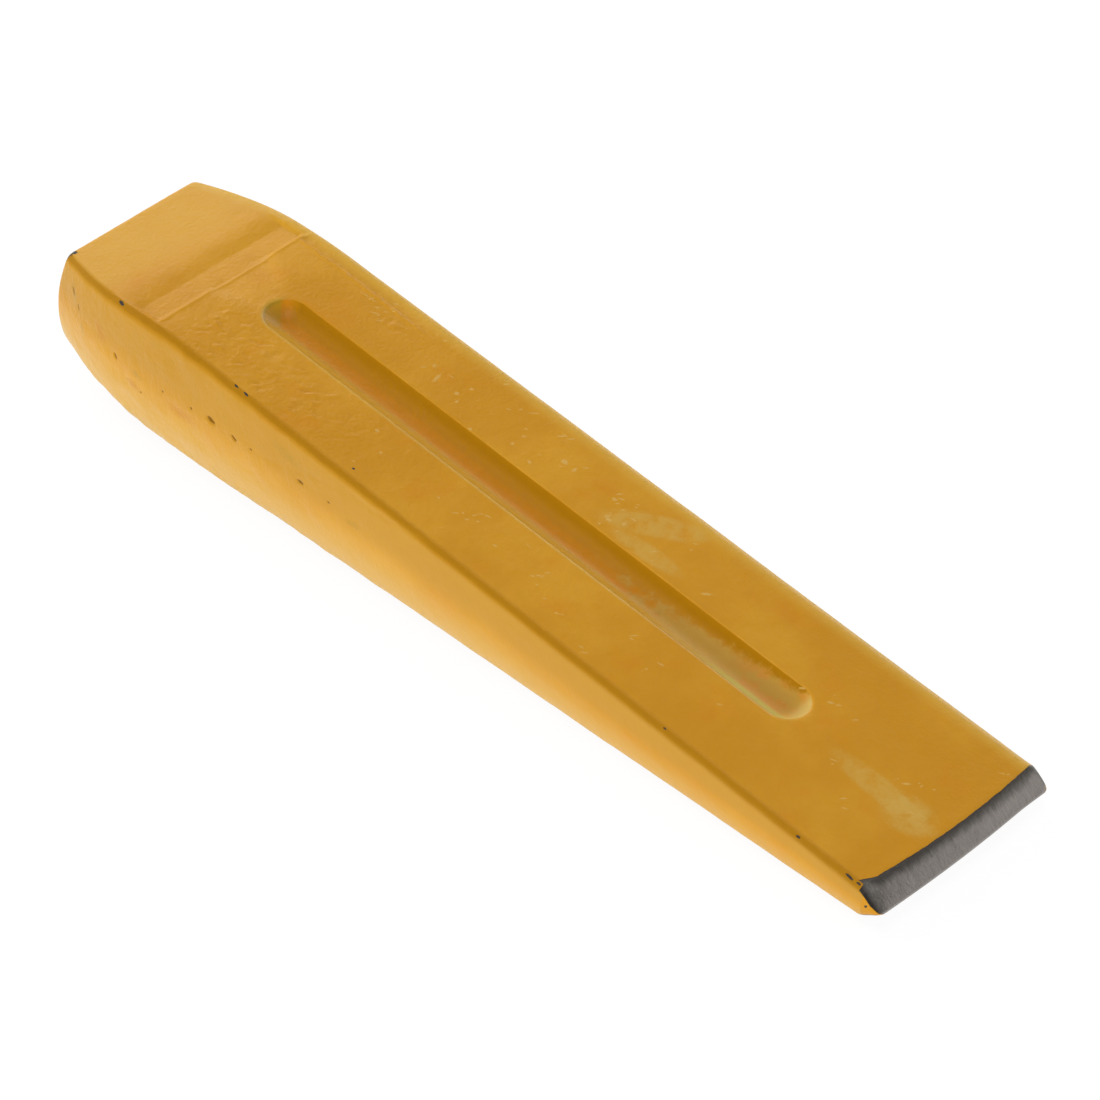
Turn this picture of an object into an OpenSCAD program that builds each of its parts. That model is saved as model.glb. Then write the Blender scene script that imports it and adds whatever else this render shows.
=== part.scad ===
// Splitting wedge, drop forged in one piece from a steel bar, then ground at its cutting edge.
// It lies on its lower broad face: X runs along it towards the cutting edge, Z is up, millimetres.
// The body is worked out about the plane where the two forging dies met, and then laid down.

/* [Overall] */
// Length from the poll to the middle of the cutting edge
wedge_length = 245; // [215:1:275]
// Width across the upper face where the ground edge starts
toe_width = 50.6; // [44:0.2:58]
// Thickness where the ground edge starts
toe_thickness = 8.5; // [6:0.1:12]

/* [Poll] */
// Width of the struck end across its upper edge
poll_width = 37.4; // [32:0.2:42]
// Thickness of the struck end
poll_thickness = 25.6; // [20:0.2:30]
// How far the middle of the struck end stands out past its upper and lower edges
poll_crown = 0.9; // [0.2:0.1:2]
// Radius round the edges of the struck end
poll_edge_radius = 1; // [0.5:0.1:2]

/* [Shoulders] */
// Distance from the poll to the shoulder between the head taper and the splitting taper
shoulder_at = 33; // [28:0.5:40]
// Thickness at the shoulder, before it is blended
shoulder_thickness = 33; // [31:0.2:38]
// Length on each side of the shoulder that the blend takes up
shoulder_blend = 11; // [4:0.5:16]
// Distance from the poll to where the sides stop flaring
flare_at = 15.5; // [13:0.5:20]
// Width across the upper face where the sides stop flaring, before it is blended
flare_width = 46.4; // [43:0.2:52]
// Length on each side of the flare's end that the blend takes up
flare_blend = 12; // [4:0.5:12.5]

/* [Sides] */
// How far the sides stand out at the parting line, where the wedge is thickest
side_crown = 3.2; // [0.5:0.1:4.5]
// Radius of the upper long edges
upper_edge_radius = 1.6; // [0.8:0.1:3]
// Radius of the lower long edges at the shoulder
lower_edge_radius = 3.6; // [1:0.1:6]
// Radius of the lower long edges at the toe
lower_toe_radius = 1.5; // [0.8:0.1:2.6]

// Depth by which the hammer's last blows flatten each broad face
face_flattening = 0.05; // [0.02:0.01:0.2]

/* [Ground edge] */
// Length of the ground bevels
bevel_length = 4.8; // [3.6:0.2:12]
// Thickness left at the cutting edge
edge_thickness = 0.6; // [0.3:0.1:1.5]
// Power of the bevels' curve, above 1 for a convex edge
bevel_belly = 1.3; // [1.05:0.05:2]
// How far the middle of the cutting edge stands ahead of its ends
edge_bow = 1.2; // [0:0.1:3]
// Radius of the corners of the cutting edge
edge_corner_radius = 1.6; // [0.5:0.1:3.4]
// Length of the taper over which the bow fades out behind the bevels
bow_fade = 14; // [8:0.5:25]

/* [Grooves] */
// Width of the groove in each broad face
groove_width = 10.4; // [6:0.2:16]
// Depth of the grooves
groove_depth = 2.4; // [1:0.1:3.5]
// Distance from the poll to the nearest end of the grooves
groove_from = 44.5; // [40:0.5:60]
// Distance from the poll to the farthest end of the grooves
groove_to = 200.5; // [120:0.5:205]

/* [Marking recess] */
// Length of the shallow recess across the upper shoulder, along the wedge
recess_length = 10; // [5:0.2:11]
// Width of the recess, across the wedge
recess_width = 41; // [24:0.5:42]
// Distance from the poll to the middle of the recess
recess_at = 27.5; // [26:0.5:29]
// Depth of the recess
recess_depth = 0.5; // [0.2:0.1:1]
// Radius of the recess's corners
recess_corner = 2; // [0.5:0.1:2.4]

/* [Smoothness] */
// Points round each rounded long edge
corner_steps = 5; // [3:1:8]
// Points up each side
side_steps = 8; // [4:2:10]
// Points across each broad face
face_steps = 8; // [6:2:12]

/* [Hidden] */

poll_steps = 4;
poll_rings = 4;
head_steps = 17;
taper_steps = 8;
bevel_steps = 7;
round_fn = 64;
paint_yellow = "#C9902F";

bevel_at = wedge_length - bevel_length;
head_end = shoulder_at + shoulder_blend;
poll_fade = 25;

flare_slope = (flare_width - poll_width) / 2 / flare_at;
side_slope = (toe_width - flare_width) / 2 / (bevel_at - flare_at);
head_slope = (shoulder_thickness - poll_thickness) / 2 / shoulder_at;
face_slope = (toe_thickness - shoulder_thickness) / 2 / (bevel_at - shoulder_at);
face_angle = -atan(face_slope);

// Height of two straight lines that meet at corner_at, with a parabola from one to the other
function blended(at, corner_at, slope_in, slope_out, reach) =
    let (past = at - corner_at)
    past < -reach ? slope_in * past
    : past > reach ? slope_out * past
    : slope_in * past + (slope_out - slope_in) * pow(past + reach, 2) / (4 * reach);

// Half the width across the broad faces, out to where their edges would be if they were sharp
function half_width(at) = flare_width / 2 + blended(at, flare_at, flare_slope, side_slope, flare_blend);

// How much of that half width the round corners of the cutting edge take off
function corner_loss(at) =
    let (past = max(0, at - wedge_length + edge_corner_radius))
    edge_corner_radius - sqrt(max(0, pow(edge_corner_radius, 2) - pow(past, 2)));

// Half the thickness of the forged taper
function half_forged(at) =
    shoulder_thickness / 2 + blended(at, shoulder_at, head_slope, face_slope, shoulder_blend);

// Half the thickness, with the ground bevels
function half_thickness(at) =
    let (ground = max(0, at - bevel_at) / bevel_length)
    edge_thickness / 2 + (half_forged(min(at, bevel_at)) - edge_thickness / 2) * (1 - pow(ground, bevel_belly));

// Radius of the lower long edges, which get finer towards the toe
function lower_radius(at) =
    let (along = min(1, max(0, at - head_end) / (bevel_at - head_end)))
    lower_edge_radius + (lower_toe_radius - lower_edge_radius) * along;

// Points on a rounded corner, from one angle to another
function corner(mid, radius, from, to) = [
    for (i = [0:corner_steps])
        let (turn = from + (to - from) * i / corner_steps)
        [mid.x + radius * cos(turn), mid.y + radius * sin(turn)]
];

// Points between two others, without them
function between(start, end, steps) = [for (i = [1:steps - 1]) start + (end - start) * i / steps];

function slice(list, from, to) = [for (i = [from:to]) list[i]];

// Outline of a cross-section before its sides are crowned, inset all round. It starts halfway up
// one side and goes over the top, so that its point i from the start lies over point i from the end.
function flat_section(at, inset) =
    let (
        w = half_width(at) - corner_loss(at) - inset,
        t = half_thickness(at) - inset,
        up = min(upper_edge_radius, 0.45 * t),
        low = min(lower_radius(at), 0.45 * t),
        side = between([w, low - t], [w, t - up], side_steps)
    )
    concat(
        slice(side, side_steps / 2 - 1, side_steps - 2),
        corner([w - up, t - up], up, 0, 90),
        between([w - up, t], [up - w, t], face_steps),
        corner([up - w, t - up], up, 90, 180),
        between([-w, t - up], [-w, low - t], side_steps),
        corner([low - w, low - t], low, 180, 270),
        between([low - w, -t], [w - low, -t], face_steps),
        corner([w - low, low - t], low, 270, 360),
        slice(side, 0, side_steps / 2 - 2)
    );

// How far a point of a section moves out where the sides bulge
function side_bulge(across, up, at, inset) =
    let (
        w = half_width(at) - corner_loss(at) - inset,
        t = half_thickness(at) - inset,
        crown = side_crown * half_thickness(at) / (shoulder_thickness / 2)
    )
    sign(across) * crown * (1 - pow(up / t, 2)) * pow(min(1, abs(across) / w), 4);

// How far a point moves along the wedge for the domed poll and the bowed edge
function end_shift(across, up, at) =
    let (
        near_poll = pow(max(0, 1 - at / poll_fade), 2),
        near_edge = pow(min(1, max(0, 1 - (bevel_at - at) / bow_fade)), 2)
    )
    near_poll * poll_crown * pow(2 * up / poll_thickness, 2)
    - near_edge * edge_bow * pow(across / half_width(at), 2);

// One ring of points round the body, shrunk towards its middle by a share
function ring(at, inset, share) = [
    for (p = flat_section(at, inset))
        let (
            across = share * (p.x + side_bulge(p.x, p.y, at, inset)),
            up = share * p.y
        )
        [at + end_shift(share * p.x, up, at), across, up]
];

// Stations of the rings along the wedge
poll_face = [for (i = [1:poll_rings - 1]) ring(0, poll_edge_radius, i / poll_rings)];
poll_edge = [
    for (i = [0:poll_steps])
        let (turn = 90 * i / poll_steps)
        ring(poll_edge_radius * (1 - cos(turn)), poll_edge_radius * (1 - sin(turn)), 1)
];
head = [for (i = [1:head_steps]) ring(poll_edge_radius + (head_end - poll_edge_radius) * i / head_steps, 0, 1)];
taper = [for (i = [1:taper_steps]) ring(head_end + (bevel_at - head_end) * i / taper_steps, 0, 1)];
bevel = [for (i = [1:bevel_steps]) ring(bevel_at + bevel_length * sin(90 * i / bevel_steps), 0, 1)];
rings = concat(poll_face, poll_edge, head, taper, bevel);

// Where the laid-down body ends along X, and how far it is lifted to stand on its lower face
laid_x = [for (r = rings) for (p = r) p.x * cos(face_angle) + p.z * sin(face_angle)];
mid_x = (min(laid_x) + max(laid_x)) / 2;
lift = shoulder_at * sin(face_angle) + shoulder_thickness / 2 * cos(face_angle) - face_flattening;

// A closed skin over rings of points: a fan from the middle point closes the first ring,
// and a strip from its upper to its lower points closes the last
module skin(rings, middle) {
    count = len(rings[0]);
    last = (len(rings) - 1) * count;
    points = concat([for (r = rings) each r], [middle]);
    fan = [for (i = [0:count - 1]) [len(points) - 1, i, (i + 1) % count]];
    walls = [
        for (k = [0:len(rings) - 2])
            for (i = [0:count - 1])
                let (a = k * count + i, b = k * count + (i + 1) % count)
                each [[a, a + count, b], [b, a + count, b + count]]
    ];
    strip = [
        for (i = [0:count / 2 - 1])
            let (
                upper = last + i,
                upper_next = upper + 1,
                lower = last + (count - i) % count,
                lower_next = last + count - i - 1
            )
            each concat(
                upper == lower ? [] : [[upper, lower, lower_next]],
                upper_next == lower_next ? [] : [[upper, lower_next, upper_next]]
            )
    ];
    polyhedron(points, concat(fan, walls, strip));
}

// Brings its children onto the upper face of the splitting taper at a distance from the poll
module on_face(at) {
    translate([at, 0, shoulder_thickness / 2 + face_slope * (at - shoulder_at)])
        rotate([0, face_angle, 0])
            translate([0, 0, -face_flattening])
                children();
}

// All that stands above the flat of the upper face
module above_face() {
    on_face(0)
        translate([-shoulder_thickness, -toe_width, 0])
            cube([wedge_length + 2 * shoulder_thickness, 2 * toe_width, shoulder_thickness]);
}

// Round-ended groove as a fuller would leave it, cut into the upper face
module groove() {
    radius = (pow(groove_width / 2, 2) + pow(groove_depth, 2)) / (2 * groove_depth);
    run = (groove_to - groove_from - groove_width) / cos(face_angle);
    on_face(groove_from + groove_width / 2)
        translate([0, 0, radius - groove_depth]) {
            rotate([0, 90, 0])
                rotate(180 / round_fn)
                    cylinder(r = radius, h = run, $fn = round_fn);
            sphere(r = radius, $fn = round_fn);
            translate([run, 0, 0])
                sphere(r = radius, $fn = round_fn);
        }
}

// Shallow recess with rounded corners, sunk square to the shoulder under it
module marking_recess() {
    from = recess_at - recess_length / 2;
    to = recess_at + recess_length / 2;
    rise = half_forged(to) - half_forged(from);
    translate([recess_at, 0, (half_forged(from) + half_forged(to)) / 2 - recess_depth])
        rotate([0, -atan(rise / recess_length), 0])
            linear_extrude(shoulder_thickness)
                rounded_plate(recess_length, recess_width, recess_corner);
}

module rounded_plate(size_x, size_y, radius) {
    square([size_x - 2 * radius, size_y], center = true);
    square([size_x, size_y - 2 * radius], center = true);
    for (x = [-1, 1], y = [-1, 1])
        translate([x * (size_x / 2 - radius), y * (size_y / 2 - radius)])
            circle(r = radius, $fn = round_fn);
}

module wedge_body() {
    color(paint_yellow)
        translate([-mid_x, 0, lift])
            rotate([0, face_angle, 0])
                difference() {
                    skin(rings, [0, 0, 0]);
                    for (side = [0, 1])
                        mirror([0, 0, side]) {
                            above_face();
                            groove();
                        }
                    marking_recess();
                }
}

wedge_body();
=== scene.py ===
import math
import random

import bmesh
import bpy
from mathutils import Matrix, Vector, noise


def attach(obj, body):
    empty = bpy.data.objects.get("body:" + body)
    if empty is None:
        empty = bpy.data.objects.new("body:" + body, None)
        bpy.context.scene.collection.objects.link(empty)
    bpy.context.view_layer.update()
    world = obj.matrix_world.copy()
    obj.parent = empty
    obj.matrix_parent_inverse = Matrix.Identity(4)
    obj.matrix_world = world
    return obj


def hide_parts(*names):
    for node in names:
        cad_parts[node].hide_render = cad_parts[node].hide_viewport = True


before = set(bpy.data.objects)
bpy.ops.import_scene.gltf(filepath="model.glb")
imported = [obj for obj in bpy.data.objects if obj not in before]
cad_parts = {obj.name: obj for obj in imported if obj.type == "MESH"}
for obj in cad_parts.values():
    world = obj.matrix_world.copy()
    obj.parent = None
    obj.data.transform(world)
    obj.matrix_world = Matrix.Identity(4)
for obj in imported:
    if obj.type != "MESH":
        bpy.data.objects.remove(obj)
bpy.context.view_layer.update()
print("frame loaded:", list(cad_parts))

# Camera, where the photograph was taken from
camera = {
    "aim": (0.00565, 0.00069, 0.0120),
    "azimuth": 44.771,
    "elevation": 40.629,
    "distance": 1.2984,
    "lens": 205.79,
    "sensorWidth": 36,
    "clipStart": 0.05,
    "clipEnd": 20,
}


def directionOf(turn, rise):
    return Vector((math.cos(turn) * math.cos(rise), math.sin(turn) * math.cos(rise), math.sin(rise)))


def addCamera():
    turn = math.radians(camera["azimuth"])
    rise = math.radians(camera["elevation"])
    aim = Vector(camera["aim"])
    away = directionOf(turn - math.pi / 2, rise)
    bpy.ops.object.camera_add(location=aim + away * camera["distance"],
                              rotation=(math.pi / 2 - rise, 0, turn))
    view = bpy.context.object
    view.name = "photoView"
    view.data.lens = camera["lens"]
    view.data.sensor_width = camera["sensorWidth"]
    view.data.clip_start = camera["clipStart"]
    view.data.clip_end = camera["clipEnd"]
    bpy.context.scene.camera = view


addCamera()
print("camera placed")

# Small tools for modelling


def setMode(mode):
    bpy.ops.object.mode_set(mode=mode)


def deselectAll():
    if bpy.context.object and bpy.context.object.mode != "OBJECT":
        setMode("OBJECT")
    bpy.ops.object.select_all(action="DESELECT")


def pick(piece, kind, wanted):
    bpy.ops.mesh.select_mode(type=kind)
    bpy.ops.mesh.select_all(action="DESELECT")
    shape = bmesh.from_edit_mesh(piece.data)
    parts = {"VERT": shape.verts, "EDGE": shape.edges, "FACE": shape.faces}[kind]
    for part in parts:
        if wanted(part):
            part.select_set(True)
    bmesh.update_edit_mesh(piece.data)


def applyModifier(piece, kind, name, **settings):
    modifier = piece.modifiers.new(name, kind)
    for key, value in settings.items():
        setattr(modifier, key, value)
    bpy.ops.object.modifier_apply(modifier=name)


def displace(piece, name, shareAt, **settings):
    group = piece.vertex_groups.new(name=name)
    for vertex in piece.data.vertices:
        share = shareAt(*vertex.co)
        if share > 0:
            group.add([vertex.index], share, "REPLACE")
    applyModifier(piece, "DISPLACE", name, vertex_group=name, **settings)
    piece.vertex_groups.remove(piece.vertex_groups[name])


def pushByPlace(piece, name, direction, strength, shareAt):
    displace(piece, name, shareAt, direction=direction, strength=strength, mid_level=0)


def emboss(piece, name, direction, outward, heightAt):
    pushByPlace(piece, name + " up", direction, outward, lambda x, y, z: max(0, heightAt(x, y, z)))
    pushByPlace(piece, name + " down", direction, -outward, lambda x, y, z: max(0, -heightAt(x, y, z)))


def smoothStep(value, low, high):
    share = min(1, max(0, (value - low) / (high - low)))
    return share * share * (3 - 2 * share)


def between(value, rise, fall):
    return smoothStep(value, *rise) * (1 - smoothStep(value, *fall))


def lengthShare(form, x):
    return between(x, form["begins"], form["ends"])


def ridge(offset, width):
    return math.exp(-(offset / width) ** 2)


# The wedge, in millimetres.
# It is shaped about the plane where the forging dies met, X from the poll to the edge, then laid down.
wedge = {
    "length": 245,
    "pollWidth": 37.4, "pollThickness": 25.5, "pollCrown": 0.9, "pollFade": 25, "pollRadius": 1.0,
    "shoulderAt": 33, "shoulderThickness": 32.94, "shoulderBlend": 11,
    "flareAt": 15.5, "flareWidth": 46.4, "flareBlend": 12,
    "toeWidth": 50.6, "toeThickness": 8.38, "sideCrown": 3.2,
    "nearChamfer": 0.95, "farRadius": 1.9, "lowerRadius": 3.5, "lowerToeRadius": 1.4,
    "thinShare": 0.45,  # an edge's radius is at most this share of the half thickness
    "bevelLength": 4.8, "bevelBelly": 1.3, "edgeThickness": 0.6,
    "edgeBow": 0.00125, "edgeApex": -10, "edgeCorner": 1.1, "bowFade": 14,
    "groundFrom": 234,
    "paintEnd": 240.9, "paintMiddle": 1, "paintBow": 0.0026, "paintCorner": 1.3,
    "paintCornerSpan": (20.5, 25),
    "faceAngle": 3.3835, "middle": 122.207, "lift": 18.4,
}
division = {  # how the blank is cut up before it is smoothed
    "headStep": 2.6, "headSteps": 17, "taperSteps": 46, "bevelShares": (0.2, 0.4, 0.58, 0.74, 0.86, 0.95),
    "columns": (2.6, 5.2, 8.4, 11.6, 15, 18.5), "straightColumns": 5.5,
    "pollRings": (0.8, 0.72, 0.6, 0.4),  # each ring against the last
    "sideCuts": 5, "outerShare": 0.70, "foldCrease": 0.55,
}
samePlace = 0.02
nearPlace = 0.1
bevelAt = wedge["length"] - wedge["bevelLength"]
headEnd = wedge["shoulderAt"] + wedge["shoulderBlend"]


def blended(at, cornerAt, slopeIn, slopeOut, reach):
    past = at - cornerAt
    if past < -reach:
        return slopeIn * past
    if past > reach:
        return slopeOut * past
    return slopeIn * past + (slopeOut - slopeIn) * (past + reach) ** 2 / (4 * reach)


def halfWidth(at):
    flareSlope = (wedge["flareWidth"] - wedge["pollWidth"]) / 2 / wedge["flareAt"]
    sideSlope = (wedge["toeWidth"] - wedge["flareWidth"]) / 2 / (bevelAt - wedge["flareAt"])
    full = wedge["flareWidth"] / 2 + blended(at, wedge["flareAt"], flareSlope, sideSlope, wedge["flareBlend"])
    past = max(0, at - wedge["length"] + wedge["edgeCorner"])
    return full - wedge["edgeCorner"] + math.sqrt(max(0, wedge["edgeCorner"] ** 2 - past ** 2))


def halfForged(at):
    headSlope = (wedge["shoulderThickness"] - wedge["pollThickness"]) / 2 / wedge["shoulderAt"]
    faceSlope = (wedge["toeThickness"] - wedge["shoulderThickness"]) / 2 / (bevelAt - wedge["shoulderAt"])
    return wedge["shoulderThickness"] / 2 + blended(at, wedge["shoulderAt"], headSlope, faceSlope,
                                                    wedge["shoulderBlend"])


def halfThickness(at):
    ground = max(0, at - bevelAt) / wedge["bevelLength"]
    edge = wedge["edgeThickness"] / 2
    return edge + (halfForged(min(at, bevelAt)) - edge) * (1 - ground ** wedge["bevelBelly"])


def limited(radius, at):
    return min(radius, wedge["thinShare"] * halfThickness(at))


def lowerRadius(at):
    along = min(1, max(0, at - headEnd) / (bevelAt - headEnd))
    return limited(wedge["lowerRadius"] + (wedge["lowerToeRadius"] - wedge["lowerRadius"]) * along, at)


def paintEnd(y):
    corner = wedge["paintCorner"] * smoothStep(-y, *wedge["paintCornerSpan"])
    return wedge["paintEnd"] - wedge["paintBow"] * (y - wedge["paintMiddle"]) ** 2 - corner


def isAt(value, place):
    return abs(value - place) < samePlace


def cutBlank():
    deselectAll()
    blankWidth = wedge["toeWidth"]
    bpy.ops.mesh.primitive_cube_add(size=1, location=(wedge["length"] / 2, 0, 0),
                                    scale=(wedge["length"], blankWidth, wedge["shoulderThickness"]))
    piece = bpy.context.object
    piece.name = "splitting_wedge"
    bpy.ops.object.transform_apply(location=True, rotation=True, scale=True)
    setMode("EDIT")
    headStations = [division["headStep"] * step for step in range(1, division["headSteps"] + 1)]
    taperFrom = headStations[-1]
    steps = division["taperSteps"]
    taperStations = [taperFrom + (bevelAt - taperFrom) * step / steps for step in range(1, steps + 1)]
    bevelStations = [bevelAt + wedge["bevelLength"] * share for share in division["bevelShares"]]
    stations = headStations + taperStations + bevelStations
    for at in stations:
        bpy.ops.mesh.select_all(action="SELECT")
        bpy.ops.mesh.bisect(plane_co=(at, 0, 0), plane_no=(1, 0, 0))
    for across in (0,) + division["columns"]:
        for side in ((1, -1) if across else (1,)):
            bpy.ops.mesh.select_all(action="SELECT")
            bpy.ops.mesh.bisect(plane_co=(0, side * across, 0), plane_no=(0, 1, 0))
    for at in [0] + stations + [wedge["length"]]:
        pick(piece, "VERT", lambda vert: isAt(vert.co.x, at))
        bpy.ops.transform.resize(value=(1, 1, halfThickness(at) / (wedge["shoulderThickness"] / 2)),
                                 center_override=(at, 0, 0))
        pick(piece, "VERT", lambda vert: isAt(vert.co.x, at) and abs(vert.co.y) > division["straightColumns"])
        bpy.ops.transform.resize(value=(1, halfWidth(at) / (blankWidth / 2), 1), center_override=(at, 0, 0))
    setMode("OBJECT")
    print("blank cut:", len(piece.data.polygons), "faces")
    return piece


def runsAlong(edge):
    return abs(edge.verts[0].co.x - edge.verts[1].co.x) >= nearPlace


def isLongEdge(edge, side):
    if not runsAlong(edge):
        return False
    for vert in edge.verts:
        if abs(abs(vert.co.y) - halfWidth(vert.co.x)) > samePlace:
            return False
        if abs(vert.co.z - side * halfThickness(vert.co.x)) > samePlace:
            return False
    return True


def isPollRim(edge):
    if not (isAt(edge.verts[0].co.x, 0) and isAt(edge.verts[1].co.x, 0)):
        return False
    capFaces = [face for face in edge.link_faces if all(isAt(vert.co.x, 0) for vert in face.verts)]
    return len(capFaces) == 1


def weighEdges(piece, widest, radiusOf):
    setMode("EDIT")
    shape = bmesh.from_edit_mesh(piece.data)
    weights = shape.edges.layers.float
    layer = weights.get("bevel_weight_edge") or weights.new("bevel_weight_edge")
    for edge in shape.edges:
        edge[layer] = radiusOf(edge) / widest
    bmesh.update_edit_mesh(piece.data)
    setMode("OBJECT")


def bevelByWeight(piece, name, width, segments, radiusOf):
    weighEdges(piece, width, radiusOf)
    applyModifier(piece, "BEVEL", name, width=width, segments=segments,
                  limit_method="WEIGHT", offset_type="OFFSET", use_clamp_overlap=False)


def breakEdges(piece):
    def upperWidth(side, widest):
        def widthOf(edge):
            if not isLongEdge(edge, 1) or edge.verts[0].co.y * side < 0:
                return 0
            return limited(widest, (edge.verts[0].co.x + edge.verts[1].co.x) / 2)
        return widthOf

    def lowerWidth(edge):
        if isPollRim(edge):
            return wedge["pollRadius"]
        if not isLongEdge(edge, -1):
            return 0
        return lowerRadius((edge.verts[0].co.x + edge.verts[1].co.x) / 2)

    near, far, lower = wedge["nearChamfer"], wedge["farRadius"], wedge["lowerRadius"]
    bevelByWeight(piece, "near upper edge", near, 1, upperWidth(-1, near))
    bevelByWeight(piece, "far upper edge", far, 4, upperWidth(1, far))
    bevelByWeight(piece, "lower long edges", lower, 4, lowerWidth)
    weighEdges(piece, 1, lambda edge: 0)
    print("edges broken:", len(piece.data.polygons), "faces")


def closePoll(piece):
    setMode("EDIT")
    pick(piece, "FACE", lambda face: all(isAt(vert.co.x, 0) for vert in face.verts))
    bpy.ops.mesh.delete(type="FACE")
    pick(piece, "EDGE", lambda edge: edge.is_boundary)
    for share in division["pollRings"]:
        bpy.ops.mesh.extrude_edges_move(TRANSFORM_OT_translate={"value": (0, 0, 0)})
        bpy.ops.transform.resize(value=(1, share, share), center_override=(0, 0, 0))
    bpy.ops.mesh.merge(type="CENTER")
    setMode("OBJECT")


def isCross(edge, outFrom):
    at = edge.verts[0].co.x
    if isAt(at, 0) or not isAt(edge.verts[1].co.x, at):
        return False
    return min(abs(vert.co.y) for vert in edge.verts) > outFrom(at)


def isUpright(edge):
    steepness = 20
    step = edge.verts[0].co - edge.verts[1].co
    steep = abs(step.z) >= steepness * abs(step.y)
    return steep and isCross(edge, lambda at: halfWidth(at) - wedge["pollRadius"] - nearPlace)


def isOuterCross(edge):
    flatness = 0.1
    step = edge.verts[0].co - edge.verts[1].co
    flat = abs(step.z) <= flatness * abs(step.y)
    return flat and isCross(edge, lambda at: division["outerShare"] * halfWidth(at))


def isFoldLine(edge):
    ends = edge.verts
    if isAt(ends[0].co.x, bevelAt) and isAt(ends[1].co.x, bevelAt):
        return True
    if not runsAlong(edge):
        return False
    at = (ends[0].co.x + ends[1].co.x) / 2
    chamfer = limited(wedge["nearChamfer"], at)
    out = -(ends[0].co.y + ends[1].co.y) / 2 - halfWidth(at)
    up = (ends[0].co.z + ends[1].co.z) / 2 - halfThickness(at)
    innerLine = abs(out + chamfer) < nearPlace and abs(up) < nearPlace
    outerLine = abs(out) < nearPlace and abs(up + chamfer) < nearPlace
    return innerLine or outerLine


def markFaces(piece):
    shape = bmesh.from_edit_mesh(piece.data)
    ground = shape.faces.layers.float.new("ground")
    for face in shape.faces:
        middle = face.calc_center_median()
        onBevel = middle.x > bevelAt and (abs(face.normal.z) > 0.4 or face.normal.x > 0.8)
        besideBevel = middle.x > wedge["groundFrom"] and abs(face.normal.z) > 0.95
        if onBevel or besideBevel:
            face[ground] = 1
    bmesh.update_edit_mesh(piece.data)


def addLoops(piece):
    setMode("EDIT")
    pick(piece, "EDGE", isUpright)
    bpy.ops.mesh.subdivide(number_cuts=division["sideCuts"])
    pick(piece, "EDGE", isOuterCross)
    bpy.ops.mesh.subdivide(number_cuts=1)
    pick(piece, "EDGE", isFoldLine)
    bpy.ops.transform.edge_crease(value=division["foldCrease"])
    bpy.ops.mesh.select_all(action="SELECT")
    bpy.ops.mesh.normals_make_consistent(inside=False)
    markFaces(piece)
    setMode("OBJECT")
    print("loops added:", len(piece.data.polygons), "faces")


def crownAndBow(piece):
    def sideShare(side):
        def shareAt(x, y, z):
            if y * side <= 0:
                return 0
            thick = halfThickness(x)
            outward = min(1, abs(y) / halfWidth(x))
            return thick / (wedge["shoulderThickness"] / 2) * max(0, 1 - (z / thick) ** 2) * outward ** 4
        return shareAt

    def domeShare(x, y, z):
        return (2 * z / wedge["pollThickness"]) ** 2 * max(0, 1 - x / wedge["pollFade"]) ** 2

    def bowAt(x, y, z):
        fade = min(1, max(0, 1 - (bevelAt - x) / wedge["bowFade"])) ** 2
        edgeShift = -wedge["edgeBow"] * (y - wedge["edgeApex"]) ** 2
        share = min(1, max(0, x - bevelAt) / wedge["bevelLength"])
        return fade * (edgeShift * share + (paintEnd(y) - bevelAt) * (1 - share))

    pushByPlace(piece, "far side", "Y", wedge["sideCrown"], sideShare(1))
    pushByPlace(piece, "near side", "Y", -wedge["sideCrown"], sideShare(-1))
    pushByPlace(piece, "domed poll", "X", wedge["pollCrown"], domeShare)
    emboss(piece, "bowed edge", "X", 1, bowAt)


forged = cutBlank()
breakEdges(forged)
closePoll(forged)
addLoops(forged)
crownAndBow(forged)
applyModifier(forged, "SUBSURF", "smooth", levels=2, render_levels=2)
print("smoothed:", len(forged.data.polygons), "faces")

# Relief of the forging: what the dies pressed into it, in millimetres
grooves = {
    "from": 44.5, "to": 200.5, "halfWidth": 5.2, "depth": 2.4, "lip": 0.35, "lipAt": 0.7, "lipWidth": 0.5,
    "pollLipHeight": 0.12, "nearLipHeight": 0.06, "pollLipEnds": (46, 54), "nearLipEnds": (150, 185),
}
grooveStart = grooves["from"] + grooves["halfWidth"]
grooveEnd = grooves["to"] - grooves["halfWidth"]
recess = {  # across the head, with a low border behind it
    "from": 20.4, "floor": 27.0, "to": 32.5, "depth": 0.75, "roll": 1.8, "skew": 0.007, "tilt": 0.020,
    "near": -21.4, "far": 20.2, "borderAt": 33.4, "borderHeight": 0.13, "borderWidth": 0.38,
}
funnel = {  # behind the border: deepest there, climbing and narrowing to the groove
    "begins": (31, 32.4), "climbFrom": 33, "climbLength": 12, "depth": 0.62, "widestAt": 34,
    "halfWidth": 9.6, "narrowing": 0.44, "middle": 1.9, "drift": 0.12,
}
strip = {  # sunk along the far edge, with a thin line in front of it
    "at": 18.6, "depth": 0.28, "wander": 0.3, "begins": (33.4, 34.6), "ends": (62, 76), "lineHeight": 0.15,
    "lineWidth": 0.35,
}
roughPatch = {"at": (66, 15.4), "halfLength": 3.6, "halfWidth": 2.4, "height": 0.30}
# short, beside the recess
notch = {"at": 20.6, "width": 0.6, "depth": 0.25, "begins": (27.5, 28.2), "ends": (33, 33.8)}
# along the far edge of the head
headLine = {"at": 16.6, "spread": 0.1, "depth": 0.10, "begins": (2.5, 4), "ends": (13, 16)}
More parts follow.
